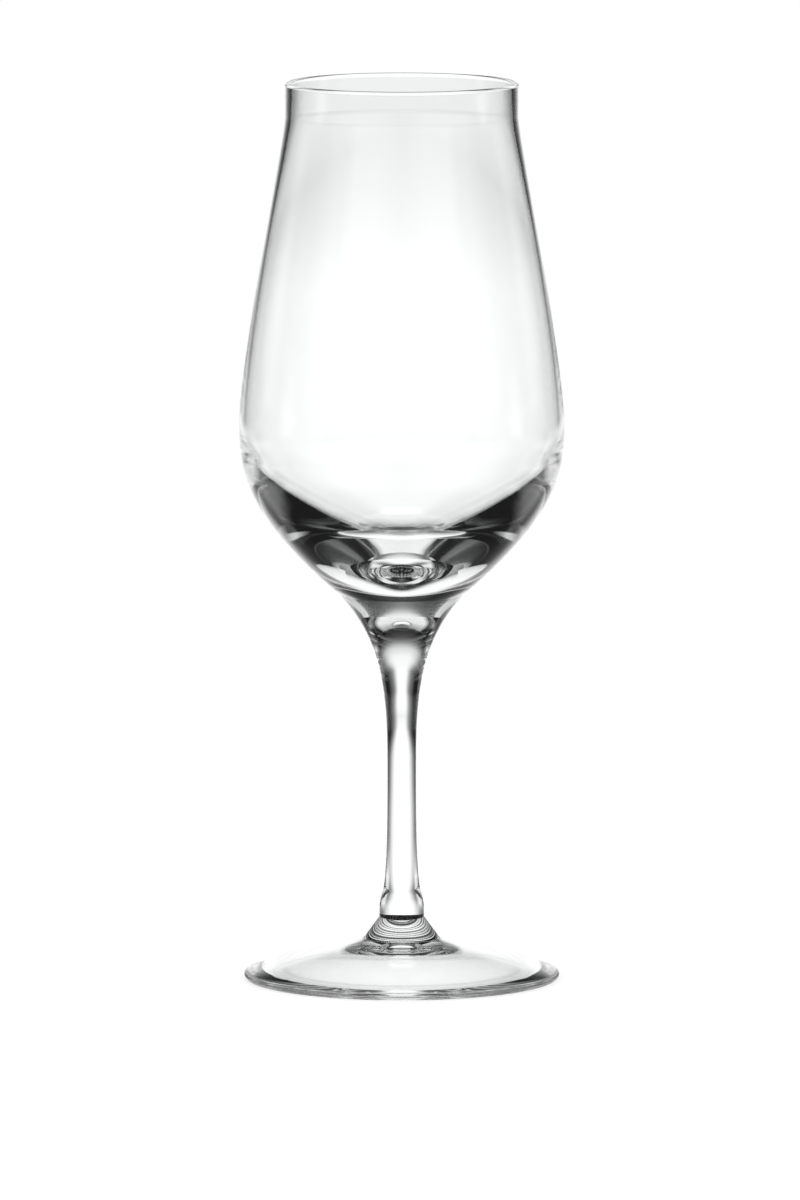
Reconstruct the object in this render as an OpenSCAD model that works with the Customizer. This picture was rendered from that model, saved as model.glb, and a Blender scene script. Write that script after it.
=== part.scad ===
// Whisky nosing glass: a blown tulip bowl, a drawn stem and a domed foot, fused face to face.

/* [Bowl] */
// Height of the bowl from its seat on the stem to the rim
bowl_h = 99.8; // [92:0.1:112]
// Outside diameter at the rim
rim_d = 45.3; // [40:0.1:52]
// Glass at the rim, which is rounded over
rim_wall = 1.4; // [0.9:0.05:1.8]
// Height of the upright lip below the rim
lip_h = 6.5; // [4:0.1:12]
// Glass at the bottom of the lip
lip_wall = 1.2; // [0.8:0.05:1.7]
// Glass halfway between the lip and the belly
neck_wall = 0.75; // [0.6:0.05:1.3]
// Outside diameter at the belly, the widest part
belly_d = 63.2; // [56:0.1:72]
// Height of the belly above the seat
belly_h = 33.4; // [30:0.1:40]
// Glass at the belly
belly_wall = 1.2; // [0.8:0.05:1.8]
// Glass at the turn, where the inside leans in towards its floor
turn_wall = 1.85; // [1.4:0.05:2.5]
// Glass under the middle of the hollow, up from the seat
base_glass = 5; // [3.5:0.1:9]

/* [Stem] */
// Height of the stem between the foot and the bowl
stem_h = 63.2; // [50:0.1:85]
// Diameter of the joint between stem and bowl
seat_d = 24; // [18:0.1:28]
// Diameter at the waist, the thinnest part
waist_d = 5.6; // [4.6:0.1:8]
// Height of the waist above the foot
waist_h = 27.8; // [22:0.1:34]

/* [Foot] */
// Height of the foot from the table to the stem
foot_h = 12; // [10.5:0.1:14]
// Diameter of the foot
foot_d = 61.5; // [54:0.1:72]
// Thickness of the rounded edge
edge_t = 1.5; // [1:0.05:2.2]
// Diameter of the joint between foot and stem
collar_d = 8.8; // [7.4:0.1:11]
// Diameter at the bottom of the cone that takes the stem
cone_d = 14.9; // [12.5:0.1:20]
// Height of that cone
cone_h = 4.1; // [3:0.1:5]
// Width of the flat ring that the glass stands on
ring_w = 3.5; // [1:0.1:5]
// Height of the hollow under the middle of the foot
hollow_h = 5.2; // [3:0.1:5.8]

/* [Curves] */
// Slope of the bowl's side at its seat, from upright
bowl_seat_slope = 49; // [44:0.5:54]
// Slope of the stem's side at its seat, from upright
stem_seat_slope = 42; // [34:0.5:48]
// Slope of the foot's top where it leaves the cone, from level
cone_foot_slope = 25; // [18:0.5:32]
// Slope of the foot's top where it meets the edge, from level
edge_slope = 30; // [20:0.5:36]
// Slope of the hollow where it meets the standing ring, from level
hollow_slope = 17; // [10:0.5:22]
// Share of the height over which the side stays upright below the lip
lip_hold = 0.075; // [0.03:0.005:0.2]
// Share of the height over which the side stays upright above the belly
belly_hold_up = 0.2; // [0.12:0.005:0.35]
// Share of the height over which the side stays upright below the belly
belly_hold_down = 0.28; // [0.2:0.005:0.4]
// Share of the height over which the bowl keeps its slope above the seat
bowl_seat_hold = 0.74; // [0.5:0.005:0.85]
// Share of the way up the lower side at which the inside turns
turn_share = 0.75; // [0.65:0.01:0.82]
// Slope of the inside at the turn, from upright
turn_slope = 16; // [10:0.5:22]
// Share of the height above the turn over which the inside keeps that slope
turn_hold = 0.35; // [0.2:0.005:0.45]
// Share of the height above the turn over which the inside stays upright below the belly
belly_hold_in = 0.46; // [0.3:0.005:0.55]
// Share of the height below the turn over which the inside keeps its slope
well_side_hold = 0.5; // [0.35:0.005:0.6]
// Share of the radius over which the floor of the hollow stays level
well_floor_hold = 0.22; // [0.12:0.005:0.4]
// Share of the height over which the stem keeps its slope below the seat
stem_seat_hold = 0.38; // [0.25:0.005:0.5]
// Share of the height over which the stem stays slim above the waist
waist_hold_up = 0.41; // [0.25:0.005:0.6]
// Share of the height over which the stem stays slim below the waist
waist_hold_down = 1.1; // [0.7:0.01:1.2]
// Share of the height over which the stem stays full above the foot
collar_hold = 0.3; // [0.15:0.005:0.4]
// Share of the width over which the foot's top keeps its slope by the cone
cone_foot_hold = 0.06; // [0.03:0.005:0.15]
// Share of the width over which the foot's top keeps its slope by the edge
edge_hold = 0.21; // [0.1:0.005:0.3]
// Share of the radius over which the hollow under the foot stays level at its middle
hollow_mid_hold = 0.45; // [0.3:0.005:0.6]
// Share of the radius over which that hollow keeps its slope by the standing ring
hollow_ring_hold = 0.28; // [0.15:0.005:0.35]

/* [Hidden] */
$fn = 128;
glass = [0.93, 0.95, 0.96, 0.45];
// Straight steps along each curve, and around half of a rounded edge
curve_steps = 28;
round_steps = 10;
rim_r = rim_d / 2;
belly_r = belly_d / 2;
seat_r = seat_d / 2;
waist_r = waist_d / 2;
collar_r = collar_d / 2;
cone_r = cone_d / 2;
foot_r = foot_d / 2;
edge_r = edge_t / 2;
rest_r = foot_r - edge_r - ring_w;
collar_z = foot_h;
cone_z = foot_h - cone_h;
waist_z = foot_h + waist_h;
seat_z = foot_h + stem_h;
belly_z = seat_z + belly_h;
rim_z = seat_z + bowl_h;
lip_z = rim_z - lip_h;
floor_z = seat_z + base_glass;

// Direction at an angle from upright, leaning outwards
function heading(angle) = [sin(angle), cos(angle)];

// Point at share t of a curve with two ends and two handles
function curve_point(a, b, c, d, t) =
    pow(1 - t, 3) * a + 3 * pow(1 - t, 2) * t * b + 3 * (1 - t) * pow(t, 2) * c + pow(t, 3) * d;

// Curve from a to b that keeps each end's heading over a length; the point b itself is left out
function leg(a, a_angle, a_hold, b, b_angle, b_hold) =
    [for (i = [0 : curve_steps - 1])
        curve_point(a, a + a_hold * heading(a_angle), b - b_hold * heading(b_angle), b, i / curve_steps)];

// Arc about a centre, both ends included
function arc(centre, r, from, to) =
    [for (i = [0 : round_steps]) centre + r * [cos(from + (to - from) * i / round_steps),
                                               sin(from + (to - from) * i / round_steps)]];

// Rise from 0 to 1 that starts and ends level
function ease(t) = t * t * (3 - 2 * t);

// Glass at share t of the way from the belly to the lip
function wall_at(t) =
    t < 0.5 ? belly_wall + (neck_wall - belly_wall) * ease(2 * t)
            : neck_wall + (lip_wall - neck_wall) * ease(2 * t - 1);

function reversed(points) = [for (i = [len(points) - 1 : -1 : 0]) points[i]];

function bowl_lower_side() =
    leg([seat_r, seat_z], bowl_seat_slope, bowl_seat_hold * belly_h,
        [belly_r, belly_z], 0, belly_hold_down * belly_h);

function bowl_upper_side() =
    leg([belly_r, belly_z], 0, belly_hold_up * (lip_z - belly_z),
        [rim_r, lip_z], 0, lip_hold * (lip_z - belly_z));

function bowl_upper_inside() =
    let (side = bowl_upper_side())
    [for (i = [0 : curve_steps - 1]) side[i] - [wall_at(i / curve_steps), 0]];

// Point where the inside turns, in from the outside of the lower side
function turn_at() =
    curve_point([seat_r, seat_z], [seat_r, seat_z] + bowl_seat_hold * belly_h * heading(bowl_seat_slope),
                [belly_r, belly_z - belly_hold_down * belly_h], [belly_r, belly_z], turn_share) - [turn_wall, 0];

function well() =
    let (turn = turn_at(), turn_h = belly_z - turn[1])
    concat(
        leg([0, floor_z], 90, well_floor_hold * turn[0],
            turn, turn_slope, well_side_hold * (turn[1] - floor_z)),
        leg(turn, turn_slope, turn_hold * turn_h,
            [belly_r - belly_wall, belly_z], 0, belly_hold_in * turn_h));

module bowl() {
    color(glass)
        rotate_extrude()
            polygon(concat(
                [[0, seat_z]],
                bowl_lower_side(),
                bowl_upper_side(),
                [[rim_r, lip_z]],
                arc([rim_r - rim_wall / 2, rim_z - rim_wall / 2], rim_wall / 2, 0, 180),
                [[rim_r - lip_wall, lip_z]],
                reversed(bowl_upper_inside()),
                reversed(well())));
}

module stem() {
    color(glass)
        rotate_extrude()
            polygon(concat(
                [[0, collar_z]],
                leg([collar_r, collar_z], 0, collar_hold * waist_h,
                    [waist_r, waist_z], 0, waist_hold_down * waist_h),
                leg([waist_r, waist_z], 0, waist_hold_up * (seat_z - waist_z),
                    [seat_r, seat_z], stem_seat_slope, stem_seat_hold * (seat_z - waist_z)),
                [[seat_r, seat_z], [0, seat_z]]));
}

module foot() {
    edge_centre = [foot_r - edge_r, edge_r];
    top_edge = edge_centre + edge_r * [sin(edge_slope), cos(edge_slope)];
    top_w = top_edge[0] - cone_r;
    color(glass)
        rotate_extrude()
            polygon(concat(
                leg([0, hollow_h], 90, hollow_mid_hold * rest_r,
                    [rest_r, 0], 90 + hollow_slope, hollow_ring_hold * rest_r),
                [[rest_r, 0]],
                arc(edge_centre, edge_r, -90, 90 - edge_slope),
                leg(top_edge, edge_slope - 90, edge_hold * top_w,
                    [cone_r, cone_z], cone_foot_slope - 90, cone_foot_hold * top_w),
                [[cone_r, cone_z], [collar_r, collar_z], [0, collar_z]]));
}

bowl();
stem();
foot();
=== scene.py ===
# Looks of the whisky nosing glass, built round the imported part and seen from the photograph's place.
import bpy
import math
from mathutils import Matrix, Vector


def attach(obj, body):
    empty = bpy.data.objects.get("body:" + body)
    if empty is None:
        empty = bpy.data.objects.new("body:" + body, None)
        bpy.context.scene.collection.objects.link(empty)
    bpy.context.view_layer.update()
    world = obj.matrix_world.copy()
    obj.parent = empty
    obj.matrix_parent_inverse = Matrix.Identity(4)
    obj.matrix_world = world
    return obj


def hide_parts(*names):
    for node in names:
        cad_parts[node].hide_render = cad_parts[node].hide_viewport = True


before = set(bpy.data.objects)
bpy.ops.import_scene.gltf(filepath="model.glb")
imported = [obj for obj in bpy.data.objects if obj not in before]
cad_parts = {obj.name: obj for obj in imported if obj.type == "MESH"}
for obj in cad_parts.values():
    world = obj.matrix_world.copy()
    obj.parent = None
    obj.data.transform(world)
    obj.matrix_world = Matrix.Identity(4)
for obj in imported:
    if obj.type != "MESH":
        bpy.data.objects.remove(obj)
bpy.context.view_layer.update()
bpy.ops.object.select_all(action="DESELECT")
scene = bpy.context.scene
MM = 0.001

# Sizes of the glass in mm, the same values as in the part's source
BOWL_H = 99.8
RIM_R = 45.3 / 2
RIM_WALL = 1.4
LIP_H = 6.5
LIP_WALL = 1.2
NECK_WALL = 0.75
BELLY_R = 63.2 / 2
BELLY_H = 33.4
BELLY_WALL = 1.2
BASE_GLASS = 5.0
TURN_WALL = 1.85
STEM_H = 63.2
SEAT_R = 24.0 / 2
WAIST_R = 5.6 / 2
WAIST_H = 27.8
FOOT_H = 12.0
FOOT_R = 61.5 / 2
EDGE_R = 1.5 / 2
COLLAR_R = 8.8 / 2
CONE_R = 14.9 / 2
CONE_H = 4.1
RING_W = 3.5
HOLLOW_H = 5.2

# Slopes at the ends of the curves, in degrees, and the share of a length over which each end keeps its slope
BOWL_SEAT_SLOPE, BOWL_SEAT_HOLD = 49.0, 0.74
STEM_SEAT_SLOPE, STEM_SEAT_HOLD = 42.0, 0.38
CONE_FOOT_SLOPE, CONE_FOOT_HOLD = 25.0, 0.06
EDGE_SLOPE, EDGE_HOLD = 30.0, 0.21
HOLLOW_SLOPE, HOLLOW_RING_HOLD, HOLLOW_MID_HOLD = 17.0, 0.28, 0.45
LIP_HOLD, BELLY_HOLD_UP, BELLY_HOLD_DOWN = 0.075, 0.2, 0.28
TURN_SLOPE, TURN_HOLD, BELLY_HOLD_IN = 16.0, 0.35, 0.46
WELL_SIDE_HOLD, WELL_FLOOR_HOLD = 0.5, 0.22
WAIST_HOLD_UP, WAIST_HOLD_DOWN, COLLAR_HOLD = 0.41, 1.1, 0.3

# Heights above the table, in mm
COLLAR_Z = FOOT_H
CONE_Z = FOOT_H - CONE_H
WAIST_Z = FOOT_H + WAIST_H
SEAT_Z = FOOT_H + STEM_H
BELLY_Z = SEAT_Z + BELLY_H
RIM_Z = SEAT_Z + BOWL_H
LIP_Z = RIM_Z - LIP_H
FLOOR_Z = SEAT_Z + BASE_GLASS

# Fineness of the revolved meshes
CURVE_STEPS = 30
ROUND_STEPS = 256
SHARP_ANGLE = math.radians(12)
WELD = 0.001 * MM
LEVEL_FACE = 0.999


# Profile curves: each is two ends and two handles, as (radius, height) in mm

def heading(angle):
    # Direction at an angle from upright, leaning outwards.
    return Vector((math.sin(math.radians(angle)), math.cos(math.radians(angle))))


def leg(a, a_angle, a_hold, b, b_angle, b_hold):
    a, b = Vector(a), Vector(b)
    return [a, a + a_hold * heading(a_angle), b - b_hold * heading(b_angle), b]


def straight(a, b):
    a, b = Vector(a), Vector(b)
    return [a, a.lerp(b, 1 / 3), a.lerp(b, 2 / 3), b]


def arc(centre, r, start, end):
    # Round stretch in curves of a quarter turn at most, angles from the outward level.
    count = math.ceil(abs(end - start) / 90)
    step = math.radians((end - start) / count)
    hold = 4 / 3 * math.tan(step / 4) * r
    legs = []
    for i in range(count):
        q0 = math.radians(start) + i * step
        q1 = q0 + step
        a = Vector(centre) + r * Vector((math.cos(q0), math.sin(q0)))
        b = Vector(centre) + r * Vector((math.cos(q1), math.sin(q1)))
        legs.append([a, a + hold * Vector((-math.sin(q0), math.cos(q0))),
                     b - hold * Vector((-math.sin(q1), math.cos(q1))), b])
    return legs


def halves(curve):
    # The same curve as two curves that meet halfway.
    a, b, c, d = curve
    ab, bc, cd = (a + b) / 2, (b + c) / 2, (c + d) / 2
    abc, bcd = (ab + bc) / 2, (bc + cd) / 2
    middle = (abc + bcd) / 2
    return [a, ab, abc, middle], [middle, bcd, cd, d]


def inset(curve, wall_start, wall_end):
    # The curve moved inwards by a wall that eases from one thickness to another.
    walls = (wall_start, wall_start, wall_end, wall_end)
    return [point - Vector((wall, 0)) for point, wall in zip(curve, walls)]


def backwards(curve):
    return list(reversed(curve))


def bowl_profile():
    upper_h = LIP_Z - BELLY_Z
    lower = leg((SEAT_R, SEAT_Z), BOWL_SEAT_SLOPE, BOWL_SEAT_HOLD * BELLY_H,
                (BELLY_R, BELLY_Z), 0, BELLY_HOLD_DOWN * BELLY_H)
    upper = leg((BELLY_R, BELLY_Z), 0, BELLY_HOLD_UP * upper_h, (RIM_R, LIP_Z), 0, LIP_HOLD * upper_h)
    to_neck, to_lip = halves(upper)
    rim_turn = RIM_WALL / 2
    # The inside leaves the belly upright, leans in at the turn, three quarters of the way up the lower side,
    # and runs down to the floor
    turn_at = halves(halves(lower)[1])[1][0] - Vector((TURN_WALL, 0))
    turn_h = BELLY_Z - turn_at.y
    turn = leg(turn_at, TURN_SLOPE, TURN_HOLD * turn_h,
               (BELLY_R - BELLY_WALL, BELLY_Z), 0, BELLY_HOLD_IN * turn_h)
    well = leg((0, FLOOR_Z), 90, WELL_FLOOR_HOLD * turn_at.x,
               turn_at, TURN_SLOPE, WELL_SIDE_HOLD * (turn_at.y - FLOOR_Z))
    return [lower, upper, straight((RIM_R, LIP_Z), (RIM_R, RIM_Z - rim_turn)),
            *arc((RIM_R - rim_turn, RIM_Z - rim_turn), rim_turn, 0, 180),
            straight((RIM_R - RIM_WALL, RIM_Z - rim_turn), (RIM_R - LIP_WALL, LIP_Z)),
            backwards(inset(to_lip, NECK_WALL, LIP_WALL)),
            backwards(inset(to_neck, BELLY_WALL, NECK_WALL)),
            backwards(turn),
            backwards(well)]


def stem_profile():
    upper_h = SEAT_Z - WAIST_Z
    return [leg((COLLAR_R, COLLAR_Z), 0, COLLAR_HOLD * WAIST_H,
                (WAIST_R, WAIST_Z), 0, WAIST_HOLD_DOWN * WAIST_H),
            leg((WAIST_R, WAIST_Z), 0, WAIST_HOLD_UP * upper_h,
                (SEAT_R, SEAT_Z), STEM_SEAT_SLOPE, STEM_SEAT_HOLD * upper_h)]


def foot_profile():
    rest_r = FOOT_R - EDGE_R - RING_W
    edge_centre = Vector((FOOT_R - EDGE_R, EDGE_R))
    top_edge = edge_centre + EDGE_R * heading(EDGE_SLOPE)
    top_w = top_edge.x - CONE_R
    return [leg((0, HOLLOW_H), 90, HOLLOW_MID_HOLD * rest_r,
                (rest_r, 0), 90 + HOLLOW_SLOPE, HOLLOW_RING_HOLD * rest_r),
            straight((rest_r, 0), (FOOT_R - EDGE_R, 0)),
            *arc(edge_centre, EDGE_R, -90, 90 - EDGE_SLOPE),
            leg(top_edge, EDGE_SLOPE - 90, EDGE_HOLD * top_w,
                (CONE_R, CONE_Z), CONE_FOOT_SLOPE - 90, CONE_FOOT_HOLD * top_w),
            straight((CONE_R, CONE_Z), (COLLAR_R, COLLAR_Z))]


# Pieces

def revolve(name, profile):
    # Draws the profile as a curve, turns it into edges and spins them round the glass's axis.
    bpy.ops.curve.primitive_bezier_curve_add()
    piece = bpy.context.object
    piece.name = name
    piece.data.name = name
    piece.data.resolution_u = CURVE_STEPS
    spline = piece.data.splines[0]
    spline.bezier_points.add(len(profile) + 1 - len(spline.bezier_points))
    knots = spline.bezier_points
    for knot in knots:
        knot.handle_left_type = knot.handle_right_type = "FREE"
    for i, curve in enumerate(profile):
        start, out, back, end = (Vector((p.x, 0, p.y)) * MM for p in curve)
        knots[i].co, knots[i].handle_right = start, out
        knots[i + 1].co, knots[i + 1].handle_left = end, back
    knots[0].handle_left = knots[0].co
    knots[-1].handle_right = knots[-1].co
    bpy.ops.object.convert(target="MESH")
    bpy.ops.object.mode_set(mode="EDIT")
    bpy.ops.mesh.select_all(action="SELECT")
    bpy.ops.mesh.spin(steps=ROUND_STEPS, angle=2 * math.pi, center=(0, 0, 0), axis=(0, 0, 1))
    bpy.ops.mesh.select_all(action="SELECT")
    bpy.ops.mesh.remove_doubles(threshold=WELD)
    bpy.ops.mesh.select_all(action="SELECT")
    bpy.ops.mesh.fill_holes(sides=0)
    bpy.ops.mesh.select_all(action="SELECT")
    bpy.ops.mesh.normals_make_consistent(inside=False)
    bpy.ops.object.mode_set(mode="OBJECT")
    bpy.ops.object.shade_smooth_by_angle(angle=SHARP_ANGLE)
    piece.select_set(False)
    return piece


def fuse(piece, *joints):
    # Gives the flat faces at the joints the material of glass that has run together.
    for face in piece.data.polygons:
        if abs(face.normal.z) > LEVEL_FACE and any(abs(face.center.z - z * MM) < WELD for z in joints):
            face.material_index = 1


# Materials

# Wave left in the glass by its making, and smears on it, with lengths and heights in mm
WAVE_LENGTH = 18.0
WAVE_HEIGHT = 0.004
SMEAR_LENGTH = 7.0
SMEAR_ROUGHNESS = 0.006


def linear(hex_colour):
    # sRGB hex to the linear colour that the shaders take.
    values = [int(hex_colour[i:i + 2], 16) / 255 for i in (0, 2, 4)]
    return [v / 12.92 if v <= 0.04045 else ((v + 0.055) / 1.055) ** 2.4 for v in values] + [1.0]


def add(tree, kind, inputs=None, **settings):
    # Adds a node with its settings; an input takes a value or a link.
    node = tree.nodes.new(kind)
    for name, value in settings.items():
        setattr(node, name, value)
    for socket, value in (inputs or {}).items():
        if isinstance(value, bpy.types.NodeSocket):
            tree.links.new(value, node.inputs[socket])
        else:
            node.inputs[socket].default_value = value
    return node


def new_material(name):
    material = bpy.data.materials.new(name)
    material.use_nodes = True
    return material, material.node_tree, material.node_tree.nodes["Principled BSDF"]


def noise(tree, place, length, detail):
    # Noise with bumps of a length in mm.
    inputs = {"Vector": place, "Scale": 1 / (length * MM), "Detail": detail}
    return add(tree, "ShaderNodeTexNoise", inputs).outputs["Fac"]


def clear_glass():
    # Colourless fire-polished glass: bright where it looks to the light, dark at its edges, faintly wavy.
    material, tree, shader = new_material("clear_glass")
    shader.inputs["Base Color"].default_value = linear("FDFEFE")
    shader.inputs["Transmission Weight"].default_value = 1.0
    shader.inputs["IOR"].default_value = 1.5
    place = add(tree, "ShaderNodeTexCoord").outputs["Object"]
    wave = noise(tree, place, WAVE_LENGTH, 1.0)
    normal = add(tree, "ShaderNodeBump", {"Distance": WAVE_HEIGHT * MM, "Height": wave}).outputs["Normal"]
    tree.links.new(normal, shader.inputs["Normal"])
    smear = noise(tree, place, SMEAR_LENGTH, 2.0)
    blur = add(tree, "ShaderNodeMapRange", {0: smear, 1: 0.5, 2: 0.8, 3: 0.0, 4: SMEAR_ROUGHNESS}).outputs[0]
    tree.links.new(blur, shader.inputs["Roughness"])
    return material


def fused_glass():
    # Seam of two pieces of glass run together: light passes it unbent, so it can't be seen.
    material, _, shader = new_material("fused_glass")
    shader.inputs["Base Color"].default_value = linear("FFFFFF")
    shader.inputs["Roughness"].default_value = 0.0
    shader.inputs["Alpha"].default_value = 0.0
    return material


glass = clear_glass()
seam = fused_glass()


def glass_piece(name, profile, node, joints):
    piece = revolve(name, profile)
    piece.data.materials.append(glass)
    piece.data.materials.append(seam)
    fuse(piece, *joints)
    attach(piece, "root")
    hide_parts(node)
    return piece


glass_piece("glass_bowl", bowl_profile(), "bowl", [SEAT_Z])
glass_piece("glass_stem", stem_profile(), "stem", [COLLAR_Z, SEAT_Z])
glass_piece("glass_foot", foot_profile(), "foot", [COLLAR_Z])


# Studio surround, by direction: azimuth is 0 straight behind the glass and the same to both sides,
# elevation 0 at the horizon, both in degrees. Lists give a level or a share by angle.

# Soft glow on the wall behind: its fall to the sides, its width and its level by elevation
GLOW_FALL = [(0, 1.0), (14, 1.0), (20, 0.93), (26, 0.78), (32, 0.56), (40, 0.3), (50, 0.14), (65, 0.05),
             (85, 0.0), (700, 0.0)]
GLOW_WIDTH = [(-90, 0.5), (-45, 0.6), (-30, 0.65), (-20, 0.8), (-12, 1.05), (-8.5, 1.1), (-7, 0.92),
              (-6, 0.66), (-5.2, 0.48), (-4.8, 0.44), (-2, 0.45), (-0.5, 0.42), (1.5, 0.34), (8, 0.4),
              (12, 0.75), (18, 1.0), (90, 1.0)]
GLOW_RISE = [(-90, 0.0), (-62, 0.0), (-48, 0.9), (-40, 1.1), (-13, 1.17), (-6.4, 1.17), (-5.9, 1.13),
             (-3.5, 0.91), (-2.5, 1.05), (0, 1.1), (8, 1.05), (13, 1.0), (18, 0.75), (22, 0.3), (24, 0.16),
             (28, 0.06), (36, 0.0), (90, 0.0)]
# Panels of light: level by azimuth and share by elevation
OVERHEAD = ([(0, 1.05), (75, 1.05), (130, 0.15), (180, 0.15)],
            [(-90, 0), (46, 0), (56, 1), (90, 1)])
# Low panels to both sides of the glow and below the lens, which also light the glass in views from above
ASIDE = ([(0, 0), (33, 0), (44, 0.85), (60, 0.85), (72, 0), (180, 0)],
         [(-90, 0), (-38, 0), (-31, 1), (-16, 1), (-10, 0), (90, 0)])
BELOW_LENS = ([(0, 0), (95, 0), (115, 0.92), (155, 0.92), (180, 0.3)],
              [(-90, 0), (-40, 0), (-32, 1), (-11, 1), (-8.5, 0), (90, 0)])
# Panel round the lens, which lightens the edge of the lower belly
ROUND_LENS = ([(0, 0), (124, 0), (134, 0.75), (180, 0.75)],
              [(-90, 0), (-0.5, 0), (1.5, 1), (20, 1), (26, 0), (90, 0)])
# Narrow strip to each side, which lights the bowl in a view from the side
STRIP = ([(0, 0), (82, 0), (88, 0.65), (92, 0.65), (98, 0), (180, 0)],
         [(-90, 0), (-7, 0), (-5.8, 1), (1, 1), (3, 0), (90, 0)])
PANELS = [OVERHEAD, ASIDE, BELOW_LENS, ROUND_LENS, STRIP]
# Level everywhere else
DARK = 0.012


def maths(tree, operation, *values):
    return add(tree, "ShaderNodeMath", dict(enumerate(values)), operation=operation).outputs[0]


def level(tree, value, stops):
    # Level that runs straight between stops.
    low, high = stops[0][0], stops[-1][0]
    top = max(stop[1] for stop in stops)
    share = add(tree, "ShaderNodeMapRange", {0: value, 1: low, 2: high}).outputs[0]
    ramp = add(tree, "ShaderNodeValToRGB", {0: share})
    elements = ramp.color_ramp.elements
    for i, (place, amount) in enumerate(stops):
        position = (place - low) / (high - low)
        element = elements[i] if i < len(elements) and i < 2 else elements.new(position)
        element.position = position
        element.color = (amount / top, amount / top, amount / top, 1.0)
    return maths(tree, "MULTIPLY", ramp.outputs[0], top)


def studio():
    world = bpy.data.worlds.new("studio")
    scene.world = world
    world.use_nodes = True
    tree = world.node_tree
    tree.nodes.clear()
    direction = add(tree, "ShaderNodeTexCoord").outputs["Generated"]
    x, y, z = add(tree, "ShaderNodeSeparateXYZ", {0: direction}).outputs
    degrees = 180 / math.pi
    azimuth = maths(tree, "MULTIPLY", maths(tree, "ARCTAN2", maths(tree, "ABSOLUTE", x), y), degrees)
    elevation = maths(tree, "MULTIPLY", maths(tree, "ARCSINE", z), degrees)
    spread = maths(tree, "DIVIDE", azimuth, level(tree, elevation, GLOW_WIDTH))
    glow = maths(tree, "MULTIPLY", level(tree, spread, GLOW_FALL), level(tree, elevation, GLOW_RISE))
    around = maths(tree, "ADD", glow, DARK)
    for by_azimuth, by_elevation in PANELS:
        brightness = level(tree, azimuth, by_azimuth)
        share = level(tree, elevation, by_elevation)
        around = maths(tree, "ADD", around, maths(tree, "MULTIPLY", brightness, share))
    # The glass shows this surround, white behind it and dark to the sides; all else sees plain white
    path = add(tree, "ShaderNodeLightPath")
    in_glass = maths(tree, "MAXIMUM", path.outputs["Is Glossy Ray"], path.outputs["Is Transmission Ray"])
    strength = add(tree, "ShaderNodeMix", {0: in_glass, 2: 1.0, 3: around}, data_type="FLOAT").outputs[0]
    background = add(tree, "ShaderNodeBackground", {0: linear("FFFFFF"), 1: strength}).outputs[0]
    add(tree, "ShaderNodeOutputWorld", {0: background})


studio()


# Floor: pale, white to the camera but for the soft shadow of the glass, and clear to light from the glass

FLOOR_CORNERS = 128
FLOOR_R = 0.6
FLOOR_DROP = 0.00005
FLOOR_GLOW = 0.75
FLOOR_GREY = 0.3


def pale_floor():
    bpy.ops.mesh.primitive_circle_add(vertices=FLOOR_CORNERS, radius=FLOOR_R, fill_type="NGON",
                                      location=(0, 0, -FLOOR_DROP))
    floor = bpy.context.object
    floor.name = "floor"
    material = bpy.data.materials.new("pale_floor")
    material.use_nodes = True
    tree = material.node_tree
    tree.nodes.clear()
    path = add(tree, "ShaderNodeLightPath")
    through = maths(tree, "MAXIMUM", path.outputs["Is Transmission Ray"], path.outputs["Is Glossy Ray"])
    lit = add(tree, "ShaderNodeBsdfDiffuse", {0: (FLOOR_GREY, FLOOR_GREY, FLOOR_GREY, 1.0)}).outputs[0]
    own = add(tree, "ShaderNodeEmission", {0: linear("FFFFFF"), 1: FLOOR_GLOW}).outputs[0]
    seen = add(tree, "ShaderNodeAddShader", {0: lit, 1: own}).outputs[0]
    clear = add(tree, "ShaderNodeBsdfTransparent").outputs[0]
    mixed = add(tree, "ShaderNodeMixShader", {0: through, 1: seen, 2: clear}).outputs[0]
    add(tree, "ShaderNodeOutputMaterial", {0: mixed})
    floor.data.materials.append(material)
    floor.select_set(False)


pale_floor()


# Camera where the photograph was taken, in metres and mm of lens

CAMERA_BACK = 2.740
CAMERA_UP = 0.4095
AIM_UP = 0.0741
LENS = 426.27
SENSOR = 36
FAR_CLIP = 50
PHOTO_LONG_SIDE = 1200
AXIS_SHIFT = -1.75 / PHOTO_LONG_SIDE

camera_data = bpy.data.cameras.new("camera")
camera = bpy.data.objects.new("camera", camera_data)
scene.collection.objects.link(camera)
camera.location = (0, -CAMERA_BACK, CAMERA_UP)
camera.rotation_euler = (math.pi / 2 - math.atan2(CAMERA_UP - AIM_UP, CAMERA_BACK), 0, 0)
camera_data.sensor_width = SENSOR
camera_data.lens = LENS
camera_data.shift_x = AXIS_SHIFT
camera_data.clip_end = FAR_CLIP
scene.camera = camera

scene.view_settings.view_transform = "Standard"
# Light is turned back inside the glass many times before it leaves
BOUNCES = 160
scene.cycles.max_bounces = BOUNCES
scene.cycles.transmission_bounces = BOUNCES
scene.cycles.glossy_bounces = BOUNCES
